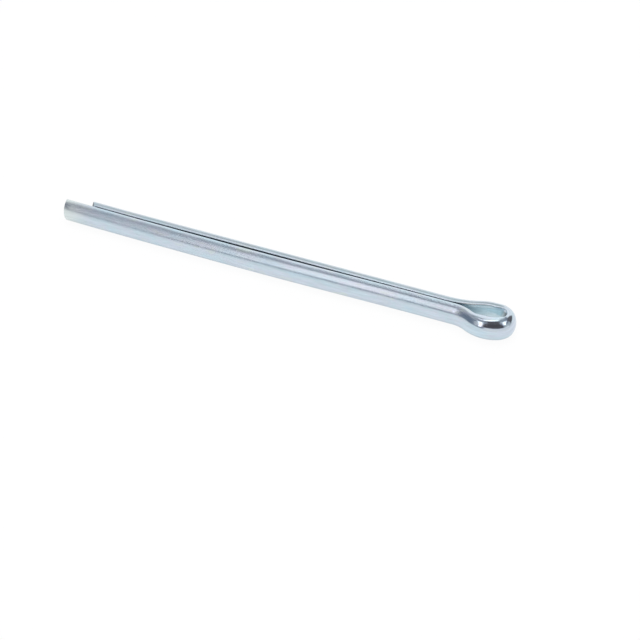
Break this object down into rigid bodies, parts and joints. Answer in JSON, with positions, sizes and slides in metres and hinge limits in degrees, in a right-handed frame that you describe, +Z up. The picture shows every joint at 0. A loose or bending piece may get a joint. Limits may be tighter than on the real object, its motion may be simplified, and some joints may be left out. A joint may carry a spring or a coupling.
{
  "type": "split cotter pin",
  "caption": "Split cotter pin folded from half-round steel wire, with an open eye and one leg longer than the other, to lock a castle nut, clevis pin or shaft.",
  "frame": {"origin": "on the shank's axis, where the two legs part into the eye", "axes": "+X along the shank from the eye to the prong ends, +Y towards the longer leg, +Z up, square to the plane of the fold, as the pin lies on a flat surface"},
  "size_m": [0.0684, 0.006, 0.0036],
  "materials": {
    "zinc_plated_steel": "bright blue-passivated zinc plating over drawn half-round wire"
  },
  "bodies": {
    "root": {"cotter_pin": "zinc_plated_steel"}
  },
  "joints": []
}
